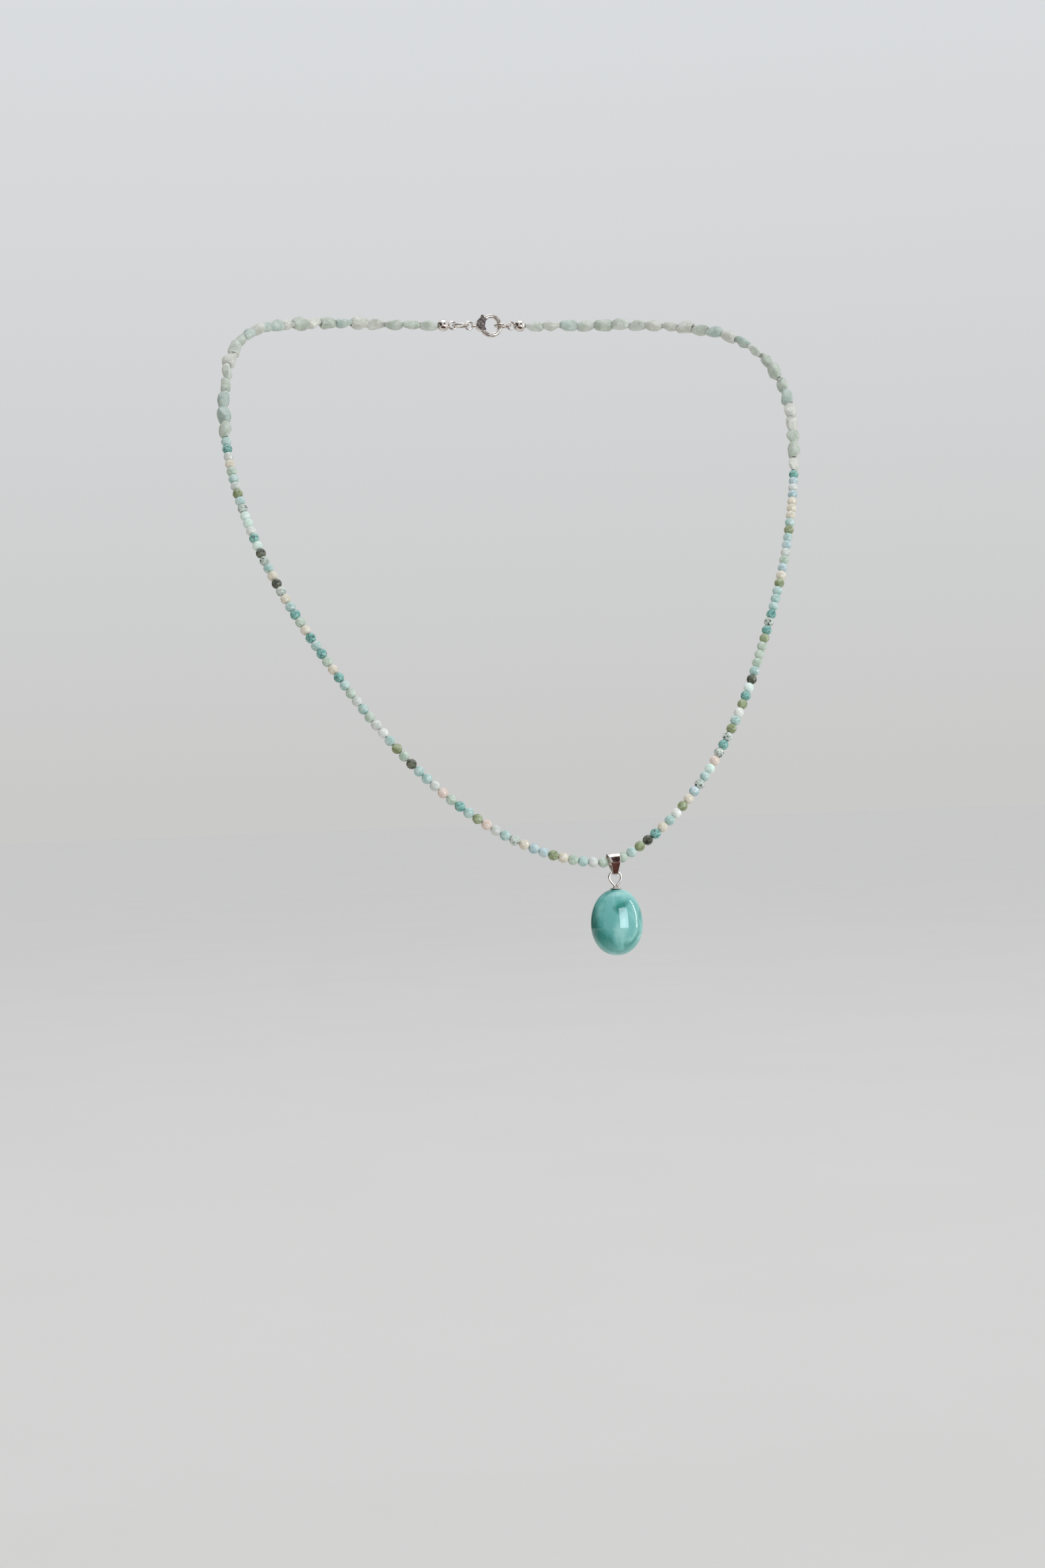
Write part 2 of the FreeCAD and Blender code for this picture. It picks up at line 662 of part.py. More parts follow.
def make_peg_cup(point):
    """The small domed cup that covers the mouth of the drilled hole."""
    radius = size("CupDia") / 2.0
    base = point - AXIS_Z * size("StoneTopDrop")
    height = size("CupHeight")
    rim = size("CupRim")
    dome_radius = (radius ** 2 + (height - rim) ** 2) / (2 * (height - rim))
    dome = add("Part::Sphere", "CupDome",
               Placement(base + AXIS_Z * (height - dome_radius), Rotation()),
               Radius="(Sizes.CupDia / 2) ^ 2 / (Sizes.CupHeight - Sizes.CupRim) / 2"
                      " + (Sizes.CupHeight - Sizes.CupRim) / 2")
    disc = add("Part::Cylinder", "CupDisc", Placement(base, Rotation()),
               Radius="Sizes.CupDia / 2", Height="Sizes.CupHeight")
    cap = join("Part::Common", "CupCap", disc, dome)
    hole = add("Part::Cylinder", "CupHole", Placement(base, Rotation()),
               Radius="Sizes.CupHole / 2", Height="Sizes.CupHeight")
    return keep(join("Part::Cut", "Cup", cap, hole), "peg_cup")


def make_stone(point):
    """The polished egg-shaped stone, a little fuller below its middle, drilled on top."""
    girdle = point - AXIS_Z * (size("StoneTopDrop") - size("StoneFlat") + size("StoneUpper"))
    place = Placement(girdle, Rotation())
    upper = add("Part::Ellipsoid", "StoneUpperHalf", place, Radius1="Sizes.StoneUpper",
                Radius2="Sizes.StoneHalfWidth", Radius3="Sizes.StoneHalfDepth")
    upper.Angle1 = 0
    upper.Angle2 = 90
    lower = add("Part::Ellipsoid", "StoneLowerHalf", place, Radius1="Sizes.StoneLower",
                Radius2="Sizes.StoneHalfWidth", Radius3="Sizes.StoneHalfDepth")
    lower.Angle1 = -90
    lower.Angle2 = 0
    egg = fuse("StoneEgg", upper, lower)
    mouth = point - AXIS_Z * size("StoneTopDrop")
    flat = add("Part::Box", "StoneFlatCut", Placement(mouth - Vector(3, 3, 0), Rotation()),
               Height="Sizes.StoneFlat * 2")
    flat.Length = 6
    flat.Width = 6
    floor = mouth - AXIS_Z * size("StoneHoleDepth")
    hole = add("Part::Cylinder", "StoneDrilling", Placement(floor, Rotation()),
               Radius="Sizes.StoneHole / 2", Height="Sizes.StoneHoleDepth")
    cuts = fuse("StoneCuts", flat, hole)
    return keep(join("Part::Cut", "Stone", egg, cuts), "pendant_stone")


def make_cement(point):
    """The cement that fills the drilled hole round the peg."""
    floor = point - AXIS_Z * (size("StoneTopDrop") + size("StoneHoleDepth"))
    plug = add("Part::Cylinder", "CementPlug", Placement(floor, Rotation()),
               Radius="Sizes.StoneHole / 2", Height="Sizes.StoneHoleDepth")
    peg_foot = point - AXIS_Z * (size("StoneTopDrop") + size("PegDepth"))
    peg = add("Part::Cylinder", "CementPegSpace", Placement(peg_foot, Rotation()),
              Radius="Sizes.PegDia / 2", Height="Sizes.PegDepth")
    return keep(join("Part::Cut", "Cement", plug, peg), "peg_cement")


# --------------------------------------------------------------- assembly

ROUTE_POINTS = route_points()
ROUTE_START = ROUTE_POINTS[0]
ROUTE_END = ROUTE_POINTS[-1]
route_edges, route_radii = rounded_route(ROUTE_POINTS)
print("right bead tip at x %.2f" % ROUTE_END.x)
print("bend radii: " + " ".join("%.1f" % radius for radius in route_radii))
strand_line = Strand(route_edges)
bail_distance = sum(edge.Length for edge in route_edges[:2 * BAIL_CORNER - 1])
bail_distance += route_edges[2 * BAIL_CORNER - 1].Length / 2.0
bail_point, bail_tangent = strand_line.frame(bail_distance)
print("bail bead at %.3f %.3f %.3f" % tuple(bail_point))

make_stringing_wire(route_edges)
bead_master = make_bead()
nugget_masters = [make_nugget("A", 4), make_nugget("B", -6), make_nugget("C", 7)]
doc.recompute()
string_group("bead_in_bail", strand_line, [(bead_master, bail_distance, 0)])
string_side(strand_line, bail_distance, -1, BEADS_LEFT, BEAD_GROUPS_LEFT,
            bead_master, nugget_masters)
string_side(strand_line, bail_distance, 1, BEADS_RIGHT, BEAD_GROUPS_RIGHT,
            bead_master, nugget_masters)
make_bead_tip("bead_tip_left", ROUTE_START.x, 1)
make_bead_tip("bead_tip_right", ROUTE_END.x, -1)
make_crimp("crimp_left", ROUTE_START.x, 1)
make_crimp("crimp_right", ROUTE_END.x, -1)
make_jump_ring()
make_end_ring()
make_clasp_body()
make_clasp_lever()
make_clasp_rivet()
make_lever_spring()
make_bail(bail_point)
pendant_point = bail_point + AXIS_X * size("EyeLoopShift")
make_eye_peg(pendant_point)
make_peg_cup(pendant_point)
make_stone(pendant_point)
make_cement(pendant_point)
doc.recompute()

for item in doc.Objects:
    if {"Invalid", "Error"} & set(item.State):
        raise RuntimeError("%s failed: %s" % (item.Name, item.State))
for item in nodes:
    if item.Shape.isNull() or not item.Shape.isValid():
        raise RuntimeError("bad shape: " + item.Label)

os.makedirs("parts", exist_ok=True)
for item in nodes:
    item.Shape.exportStep(os.path.join("parts", item.Label + ".step"))
print("clasp pivot at %.3f %.3f" % clasp_pivot())
print("clasp eye at %.3f, rings at %.3f and %.3f"
      % (clasp_eye_x(), link_x(True), link_x(False)))
print("wrote %d parts" % len(nodes))
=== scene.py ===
import bpy
import math
from mathutils import Matrix, Vector, noise
from random import Random


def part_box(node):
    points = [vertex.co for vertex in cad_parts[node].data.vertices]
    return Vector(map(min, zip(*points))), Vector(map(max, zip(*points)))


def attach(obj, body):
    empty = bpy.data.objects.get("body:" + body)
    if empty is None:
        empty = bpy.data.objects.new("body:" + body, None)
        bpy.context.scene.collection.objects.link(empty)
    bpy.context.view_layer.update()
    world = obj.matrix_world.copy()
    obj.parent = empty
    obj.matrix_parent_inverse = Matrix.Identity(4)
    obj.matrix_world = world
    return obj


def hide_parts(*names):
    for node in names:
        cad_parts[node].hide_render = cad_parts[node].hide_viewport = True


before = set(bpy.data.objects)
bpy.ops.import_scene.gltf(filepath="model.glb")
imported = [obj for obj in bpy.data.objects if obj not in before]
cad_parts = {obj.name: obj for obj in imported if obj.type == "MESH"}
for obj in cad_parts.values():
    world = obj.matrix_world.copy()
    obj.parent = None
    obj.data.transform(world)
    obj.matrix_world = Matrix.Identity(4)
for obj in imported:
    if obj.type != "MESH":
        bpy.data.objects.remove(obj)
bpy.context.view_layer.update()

# Amazonite bead necklace with an oval stone pendant, in metres, front towards -Y.
mm = 0.001
scene = bpy.context.scene
scene.view_settings.view_transform = "Standard"


def middle(node):
    low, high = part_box(node)
    return (low + high) / 2


def rgb(red, green, blue):
    # 0-255 screen values to the linear colour a shader wants
    linear = [((v / 255 + 0.055) / 1.055) ** 2.4 if v > 10 else v / 3295
              for v in (red, green, blue)]
    return (*linear, 1.0)


def lerp(a, b, share):
    return a + (b - a) * share


# the camera and the cord come first

viewpoint = {
    "place": (-0.13736, -0.60337, -0.11416),
    "azimuth": -13.0,   # degrees, which side of the front it stands on
    "roll": 2.2,
    "lens": 55.56,
}


def placeCamera(look):
    azimuth = math.radians(look["azimuth"])
    roll = math.radians(look["roll"])
    ahead = Vector((-math.sin(azimuth), math.cos(azimuth), 0))
    right = Vector((math.cos(azimuth), math.sin(azimuth), 0))
    up = Vector((0, 0, 1))
    sideways = right * math.cos(roll) - up * math.sin(roll)
    upright = right * math.sin(roll) + up * math.cos(roll)
    turned = Matrix((sideways, upright, -ahead)).transposed().to_4x4()
    data = bpy.data.cameras.new("camera")
    data.lens = look["lens"]
    data.sensor_width = 36
    data.clip_start = 0.01
    camera = bpy.data.objects.new("camera", data)
    camera.matrix_world = Matrix.Translation(look["place"]) @ turned
    scene.collection.objects.link(camera)
    scene.camera = camera


placeCamera(viewpoint)
print("camera placed")

# The corners of the stringing wire's route in millimetres, from the left bead tip,
# over the left shoulder, down to the bail and back up to the right bead tip.
wireRoute = [
    (-7.0, 35.0, 10.0),
    (-19.0, 35.0, 10.0),
    (-32.5, 32.5, 10.0),
    (-45.5, 26.0, 8.5),
    (-57.0, 15.5, 6.0),
    (-66.5, 2.0, 0.0),
    (-71.5, -9.0, -12.5),
    (-73.0, -19.5, -29.5),
    (-71.0, -32.0, -47.0),
    (-66.0, -45.0, -64.5),
    (-57.5, -56.0, -82.0),
    (-46.5, -65.5, -100.0),
    (-35.5, -71.0, -113.5),
    (-23.5, -73.5, -123.5),
    (-12.0, -73.5, -129.5),
    (-2.5, -72.5, -132.2),
    (6.0, -72.0, -133.0),
    (14.0, -71.5, -128.5),
    (23.0, -69.5, -121.5),
    (33.0, -65.0, -111.0),
    (43.0, -59.0, -96.5),
    (51.0, -52.0, -81.0),
    (58.5, -44.0, -66.0),
    (65.0, -34.5, -50.0),
    (70.5, -23.0, -35.0),
    (74.0, -12.0, -19.0),
    (72.5, -3.0, -7.0),
    (66.0, 5.5, 1.5),
    (59.0, 14.5, 5.5),
    (50.5, 23.5, 8.0),
    (39.5, 30.5, 9.5),
    (27.0, 35.0, 10.0),
    (14.15, 35.0, 10.0),
]
wireSize = {"diameter": 0.4 * mm}
thinRadius = 0.001   # each curve point's own radius, so that a curve's box stays tight round it


def layCurve(name, corners, order, resolution):
    data = bpy.data.curves.new(name, "CURVE")
    data.dimensions = "3D"
    data.resolution_u = resolution
    line = data.splines.new("NURBS")
    line.points.add(len(corners) - 1)
    for point, corner in zip(line.points, corners):
        point.co = (*corner, 1.0)
        point.radius = thinRadius
    line.order_u = order
    line.use_endpoint_u = True
    curve = bpy.data.objects.new(name, data)
    scene.collection.objects.link(curve)
    return curve


def readLine(curve):
    # points and distances along a curve that has no bevel yet
    mesh = bpy.data.meshes.new_from_object(curve)
    points = [vertex.co.copy() for vertex in mesh.vertices]
    bpy.data.meshes.remove(mesh)
    distances = [0.0]
    for before, after in zip(points, points[1:]):
        distances.append(distances[-1] + (after - before).length)
    return points, distances


wire = layCurve("stringingWire", [[value * mm for value in corner] for corner in wireRoute],
                order=3, resolution=24)
linePoints, lineDistances = readLine(wire)
wire.data.bevel_depth = wireSize["diameter"] / 2 / thinRadius
wire.data.bevel_resolution = 3
wireLength = lineDistances[-1]
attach(wire, "strand")
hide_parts("stringing_wire")
print("wire laid, %.1f mm" % (wireLength / mm))


def onLine(distance):
    # the place and the direction of the wire at this distance from its left end
    index = 1
    while index < len(lineDistances) - 1 and lineDistances[index] < distance:
        index += 1
    start, end = linePoints[index - 1], linePoints[index]
    near, far = lineDistances[index - 1], lineDistances[index]
    share = (distance - near) / (far - near)
    before = linePoints[max(index - 3, 0)]
    after = linePoints[min(index + 2, len(linePoints) - 1)]
    return start.lerp(end, share), (after - before).normalized()


def nearestOnLine(place):
    best = min(range(len(linePoints)), key=lambda n: (linePoints[n] - place).length)
    return lineDistances[best]


# shader helpers

def shaderOf(name, **sockets):
    material = bpy.data.materials.new(name)
    material.use_nodes = True
    shader = material.node_tree.nodes["Principled BSDF"]
    for socket, value in sockets.items():
        shader.inputs[socket.replace("_", " ")].default_value = value
    return material, shader


def put(material, kind, links=None, values=None, **settings):
    node = material.node_tree.nodes.new("ShaderNode" + kind)
    for setting, value in settings.items():
        setattr(node, setting, value)
    for socket, value in (values or {}).items():
        node.inputs[socket].default_value = value
    for socket, source in (links or {}).items():
        material.node_tree.links.new(source, node.inputs[socket])
    return node


def wireUp(material, source, shader, socket):
    material.node_tree.links.new(source, shader.inputs[socket])


def millimetreSpace(material, stretch=(1, 1, 1), offset=None):
    # object coordinates in millimetres, optionally shifted for each stone
    place = put(material, "TexCoord").outputs["Object"]
    scale = [share / mm for share in stretch]
    scaled = put(material, "VectorMath", {0: place}, {1: scale}, operation="MULTIPLY")
    if offset is None:
        return scaled.outputs[0]
    moved = put(material, "VectorMath", {0: scaled.outputs[0], 1: offset}, operation="ADD")
    return moved.outputs[0]


def noiseAt(material, space, scale, detail=3.0, roughness=0.5, distortion=0.0):
    values = {"Scale": scale, "Detail": detail, "Roughness": roughness, "Distortion": distortion}
    return put(material, "TexNoise", {"Vector": space}, values).outputs["Fac"]


def between(material, factor, low, high, toLow=0.0, toHigh=1.0, smooth=True):
    values = {"From Min": low, "From Max": high, "To Min": toLow, "To Max": toHigh}
    style = "SMOOTHSTEP" if smooth else "LINEAR"
    node = put(material, "MapRange", {"Value": factor}, values, interpolation_type=style)
    return node.outputs["Result"]


def mixed(material, factor, first, second, blend="MIX"):
    node = put(material, "Mix", data_type="RGBA", blend_type=blend)
    for socket, value in ((0, factor), (6, first), (7, second)):
        if isinstance(value, (tuple, list, float, int)):
            node.inputs[socket].default_value = value
        else:
            material.node_tree.links.new(value, node.inputs[socket])
    return node.outputs[2]


def bumpFrom(material, shader, height, strength, depth):
    bump = put(material, "Bump", {"Height": height}, {"Strength": strength, "Distance": depth})
    wireUp(material, bump.outputs["Normal"], shader, "Normal")


def roughen(material, shader, grain, polished, dull, grainTop=0.7):
    # roughness from polished to dull, as a noise goes from 0.3 to grainTop
    rough = between(material, grain, 0.3, grainTop, polished, dull)
    wireUp(material, rough, shader, "Roughness")


def attribute(material, name, output):
    return put(material, "Attribute", attribute_name=name).outputs[output]


# finishes

silverLook = {
    "bright": rgb(232, 226, 220),
    "worn": rgb(196, 184, 172),
    "shade": rgb(120, 96, 84),
}


def silverFinish(name, grain=1.0, gloss=0.10):
    material, shader = shaderOf(name, Metallic=1.0)
    space = millimetreSpace(material)
    cloud = noiseAt(material, space, 0.9 * grain, 4)
    wear = between(material, cloud, 0.40, 0.72)
    body = mixed(material, wear, silverLook["bright"], silverLook["worn"])
    specks = noiseAt(material, space, 5.5 * grain, 2)
    tarnish = between(material, specks, 0.64, 0.80, 0.0, 0.22)
    wireUp(material, mixed(material, tarnish, body, silverLook["shade"]), shader, "Base Color")
    handled = noiseAt(material, space, 2.4 * grain, 5, 0.7)
    roughen(material, shader, handled, gloss * 0.6, gloss * 2.2, grainTop=0.75)
    scuffs = noiseAt(material, millimetreSpace(material, (5, 1, 1)), 1.6 * grain, 3, 0.5)
    bumpFrom(material, shader, scuffs, 0.06, 0.004 * mm)
    return material


def cableFinish():
    # fine steel cable under a clear coat
    material, shader = shaderOf("beadingCable", Metallic=0.85, Coat_Weight=0.6, Coat_Roughness=0.2)
    space = millimetreSpace(material, (3, 3, 3))
    bands = {"Scale": 2.2, "Distortion": 0.6}
    lay = put(material, "TexWave", {"Vector": space}, bands, wave_type="BANDS")
    tone = mixed(material, lay.outputs["Fac"], rgb(150, 152, 156), rgb(206, 206, 204))
    wireUp(material, tone, shader, "Base Color")
    roughen(material, shader, noiseAt(material, space, 1.2), 0.22, 0.45)
    bumpFrom(material, shader, lay.outputs["Fac"], 0.25, 0.01 * mm)
    return material


def springFinish():
    material, shader = shaderOf("springSteel", Metallic=0.95)
    space = millimetreSpace(material)
    drawn = noiseAt(material, space, 3.0)
    tone = mixed(material, drawn, rgb(130, 128, 128), rgb(176, 172, 168))
    wireUp(material, tone, shader, "Base Color")
    roughen(material, shader, noiseAt(material, space, 7.0, 4), 0.2, 0.4)
    return material


def cementFinish():
    material, shader = shaderOf("stoneCement", Specular_IOR_Level=0.3)
    space = millimetreSpace(material)
    cured = noiseAt(material, space, 6.0, 5)
    tone = mixed(material, cured, rgb(206, 196, 168), rgb(168, 156, 128))
    wireUp(material, tone, shader, "Base Color")
    roughen(material, shader, noiseAt(material, space, 9.0), 0.6, 0.85)
    bumpFrom(material, shader, noiseAt(material, space, 12.0, 4), 0.4, 0.03 * mm)
    return material


# One letter for each stone: its colour, the colour of its clouds and how dark-flecked it is.
beadTints = {
    "a": (rgb(154, 184, 176), rgb(192, 208, 202), 0.0),   # aqua
    "b": (rgb(158, 184, 186), rgb(196, 208, 208), 0.1),   # light blue
    "c": (rgb(204, 194, 174), rgb(222, 214, 198), 0.0),   # cream
    "d": (rgb(52, 54, 44), rgb(112, 116, 98), 0.8),       # dark olive
    "e": (rgb(166, 182, 164), rgb(196, 206, 192), 0.0),   # pale grey-green
    "g": (rgb(192, 196, 188), rgb(214, 214, 208), 0.0),   # grey-white
    "m": (rgb(196, 218, 204), rgb(224, 232, 224), 0.0),   # mint
    "o": (rgb(126, 134, 94), rgb(166, 176, 142), 0.3),    # olive
    "p": (rgb(210, 188, 174), rgb(224, 208, 196), 0.0),   # pinkish cream
    "s": (rgb(176, 186, 176), rgb(208, 212, 202), 1.0),   # pale with dark spots
    "t": (rgb(96, 154, 144), rgb(142, 186, 176), 0.7),    # teal with specks
    "w": (rgb(210, 212, 204), rgb(230, 228, 220), 0.0),   # white
}
beadStrings = {
    # from the nuggets down to the bail
    "left": "atgceagoas mmwtmdsacd scatectate ctaegaegwa oedaagpeta opgascbboc eage",
    # from the bail up to the nuggets
    "right": "eaodtcawoc bsampstsoa wotmdaeeeo tstaaaocbe gbaoacccbg bt",
}


def amazoniteFinish():
    material, shader = shaderOf("amazoniteBeads", IOR=1.53, Subsurface_Weight=0.12,
                                Subsurface_Radius=(0.5 * mm, 0.7 * mm, 0.6 * mm),
                                Subsurface_Scale=1.0)
    space = millimetreSpace(material, (1, 1, 1), attribute(material, "grainShift", "Vector"))
    cloud = between(material, noiseAt(material, space, 0.75, 4, 0.6, 0.6), 0.36, 0.64)
    body = mixed(material, cloud, attribute(material, "bodyTint", "Color"),
                 attribute(material, "cloudTint", "Color"))
    rust = between(material, noiseAt(material, space, 1.1, 3, 0.5, 1.5), 0.62, 0.74, 0.0, 0.5)
    body = mixed(material, rust, body, rgb(176, 152, 118))
    flecks = between(material, noiseAt(material, space, 1.55, 3, 0.6, 0.8), 0.55, 0.62)
    freckled = attribute(material, "flecks", "Fac")
    flecks = put(material, "Math", {0: flecks, 1: freckled}, operation="MULTIPLY")
    body = mixed(material, flecks.outputs[0], body, rgb(38, 36, 28))
    wireUp(material, body, shader, "Base Color")
    roughen(material, shader, noiseAt(material, space, 3.0, 3), 0.10, 0.26)
    bumpFrom(material, shader, noiseAt(material, space, 4.0, 5, 0.65), 0.15, 0.012 * mm)
    return material


def nuggetFinish():
    material, shader = shaderOf("tumbledNuggets", IOR=1.53, Transmission_Weight=0.18,
                                Subsurface_Weight=0.35, Subsurface_Scale=1.0,
                                Subsurface_Radius=(1.0 * mm, 1.3 * mm, 1.1 * mm))
    space = millimetreSpace(material, (1, 1, 1), attribute(material, "grainShift", "Vector"))
    cloud = between(material, noiseAt(material, space, 0.42, 5, 0.6, 0.5), 0.34, 0.68)
    body = mixed(material, cloud, attribute(material, "bodyTint", "Color"),
                 attribute(material, "cloudTint", "Color"))
    veins = noiseAt(material, millimetreSpace(material, (1, 2.4, 1.3)), 0.9, 4, 0.6, 2.2)
    veined = between(material, veins, 0.60, 0.72, 0.0, 0.45)
    body = mixed(material, veined, body, rgb(236, 240, 232))
    wireUp(material, body, shader, "Base Color")
    roughen(material, shader, noiseAt(material, space, 2.2, 4), 0.16, 0.36)
    bumpFrom(material, shader, noiseAt(material, space, 1.5, 5, 0.6), 0.30, 0.05 * mm)
    return material


stoneLook = {
    "body": rgb(94, 166, 160),
    "deep": rgb(50, 130, 118),
    "pale": rgb(148, 200, 192),
    # the colour of the painted shade along the stone's left edge
    "shadow": rgb(46, 78, 66),
}


def pendantStoneFinish(centre, half):
    material, shader = shaderOf("polishedAmazonite", IOR=1.54, Subsurface_Weight=0.18,
                                Subsurface_Radius=(0.7 * mm, 1.2 * mm, 1.0 * mm),
                                Subsurface_Scale=1.0, Coat_Weight=0.6, Coat_Roughness=0.03)
    space = millimetreSpace(material)
    slanted = millimetreSpace(material, (1.0, 1.0, 0.55))
    cloud = noiseAt(material, slanted, 0.20, 4, 0.55, 0.6)
    clouded = between(material, cloud, 0.38, 0.66)
    body = mixed(material, clouded, stoneLook["body"], stoneLook["pale"])
    patches = noiseAt(material, slanted, 0.16, 3, 0.5, 0.9)
    patched = between(material, patches, 0.47, 0.64, 0.0, 0.9)
    body = mixed(material, patched, body, stoneLook["deep"])
    # fine pale streaks, the way this feldspar grows
    grown = noiseAt(material, millimetreSpace(material, (3.2, 1.4, 0.8)), 0.9, 4, 0.6, 0.8)
    streaked = between(material, grown, 0.58, 0.74, 0.0, 0.35)
    body = mixed(material, streaked, body, stoneLook["pale"])
    place = put(material, "SeparateXYZ", {0: put(material, "TexCoord").outputs["Object"]})
    # painted light and shade: paler at the foot as painted light, and darker along the left edge as
    # painted shade
    foot = between(material, place.outputs["Z"],
                   centre.z - 0.35 * half.z, centre.z - half.z, 0.0, 0.55)
    body = mixed(material, foot, body, stoneLook["pale"])
    edge = between(material, place.outputs["X"],
                   centre.x - 0.72 * half.x, centre.x - half.x, 0.0, 0.6)
    body = mixed(material, edge, body, stoneLook["shadow"])
    wireUp(material, body, shader, "Base Color")
    roughen(material, shader, noiseAt(material, space, 0.8, 4), 0.05, 0.13)
    bumpFrom(material, shader, noiseAt(material, space, 0.55, 3), 0.12, 0.02 * mm)
    return material


# pieces

def addPiece(name, points, faces, material, smooth=True):
    mesh = bpy.data.meshes.new(name)
    mesh.from_pydata([tuple(point) for point in points], [], faces)
    mesh.update()
    for face in mesh.polygons:
        face.use_smooth = smooth
    mesh.materials.append(material)
    piece = bpy.data.objects.new(name, mesh)
    scene.collection.objects.link(piece)
    return piece


def soften(piece, levels):
    modifier = piece.modifiers.new("soften", "SUBSURF")
    modifier.levels = levels
    modifier.render_levels = levels


def joinRings(rings, sides, staggered=False, closed=False):
    # faces between rings of points; staggered rings give three-cornered facets
    faces = []
    pairs = list(range(rings - 1)) + ([rings - 1] if closed else [])
    for ring in pairs:
        lower = ring * sides
        upper = ((ring + 1) % rings) * sides
        for side in range(sides):
            after = (side + 1) % sides
            if not staggered:
                faces.append((lower + side, lower + after, upper + after, upper + side))
            elif ring % 2:
                faces.append((lower + side, lower + after, upper + after))
                faces.append((lower + side, upper + after, upper + side))
            else:
                faces.append((lower + side, lower + after, upper + side))
                faces.append((lower + after, upper + after, upper + side))
    return faces


def addBore(points, faces, sides, radius, sunk=0.97):
    # the bore's wall, from the last ring of points back down to the first one
    inner = len(points)
    top = inner - sides
    for edge in (top, 0):
        for side in range(sides):
            turn = 2 * math.pi * side / sides
            points.append(Vector((radius * math.cos(turn), radius * math.sin(turn),
                                  points[edge + side].z * sunk)))
    outer = inner + sides
    for side in range(sides):
        after = (side + 1) % sides
        faces.append((top + side, top + after, inner + after, inner + side))
        faces.append((inner + side, inner + after, outer + after, outer + side))
        faces.append((outer + side, outer + after, after, side))


beadShape = {
    "radius": 1.24 * mm,
    "spread": (0.97, 1.01),    # of the radius, from bead to bead
    "unevenness": 1.5,         # degrees that a belt strays up or down
    "bore": 0.30 * mm,
    "boreShare": 0.92,         # how much of the bore the facets' inner edge leaves
    "pitch": 2.42 * mm,
    "sides": 12,
    "belts": (-74, -52, -26, 0, 26, 52, 74),   # degrees of latitude, the outer two at the bore
}


def facetedBead(random):
    sides = beadShape["sides"]
    radius = beadShape["radius"] * random.uniform(*beadShape["spread"])
    stray = beadShape["unevenness"]
    points = []
    for belt, latitude in enumerate(beadShape["belts"]):
        height = math.radians(latitude + random.uniform(-stray, stray))
        for side in range(sides):
            turn = 2 * math.pi * (side + 0.5 * (belt % 2)) / sides
            points.append(Vector((radius * math.cos(height) * math.cos(turn),
                                  radius * math.cos(height) * math.sin(turn),
                                  radius * math.sin(height))))
    faces = joinRings(len(beadShape["belts"]), sides, staggered=True)
    addBore(points, faces, sides, beadShape["bore"] * beadShape["boreShare"])
    return points, faces


nuggetShape = {
    "sides": 18,
    "rings": 13,
    "widths": (2.9, 4.2),         # mm, across the wire
    "thickness": (0.74, 0.94),    # of the width
    "skew": 0.25,                 # how far an end leans, of the half width
    "endCut": 0.30,               # radians left off each end for the bore
    "fullness": 0.62,             # less is blunter at the ends
    "flats": 6,
    "flatTip": 0.55,              # radians that a flat tips along the wire
    "flatReach": (0.72, 0.90),    # of the half thickness
    "flatDepth": 0.85,            # how much of what stands proud a flat takes off
    "lumps": 0.16,
    "lumpsPerMm": 0.55,
    # the colour and the colour of its clouds
    "tints": (
        (rgb(180, 188, 172), rgb(212, 216, 204)),
        (rgb(194, 200, 186), rgb(222, 224, 214)),
        (rgb(172, 188, 178), rgb(204, 212, 202)),
        (rgb(202, 202, 190), rgb(226, 224, 214)),
    ),
}


def tumbledNugget(random, length):
    shape = nuggetShape
    sides, rings = shape["sides"], shape["rings"]
    wide = random.uniform(*shape["widths"]) * mm / 2
    thick = wide * random.uniform(*shape["thickness"])
    skew = random.uniform(-shape["skew"], shape["skew"]) * wide
    seed = Vector([random.uniform(0, 50) for _ in range(3)])
    flats = []
    for _ in range(shape["flats"]):
        turn = random.uniform(0, 2 * math.pi)
        tip = random.uniform(-shape["flatTip"], shape["flatTip"])
        normal = Vector((math.cos(turn) * math.cos(tip),
                         math.sin(turn) * math.cos(tip), math.sin(tip)))
        flats.append((normal, random.uniform(*shape["flatReach"]) * thick))
    points = []
    end = math.pi / 2 - shape["endCut"]
    for ring in range(rings):
        angle = lerp(-end, end, ring / (rings - 1))
        across = math.cos(angle) ** shape["fullness"]
        for side in range(sides):
            turn = 2 * math.pi * side / sides
            point = Vector((wide * across * math.cos(turn) + skew * math.sin(angle),
                            thick * across * math.sin(turn),
                            length / 2 * math.sin(angle) / math.sin(end)))
            for normal, reach in flats:
                over = point.dot(normal) - reach
                if over > 0 and 0 < ring < rings - 1:
                    point -= normal * over * shape["flatDepth"]
            lump = noise.noise(point / mm * shape["lumpsPerMm"] + seed)
            point += Vector((point.x, point.y, 0)) * shape["lumps"] * lump
            points.append(point)
    faces = joinRings(rings, sides)
    addBore(points, faces, sides, beadShape["bore"])
    return points, faces


anyTurn = 6.28      # radians
grainRange = 90     # mm, how far apart two stones' grain can be


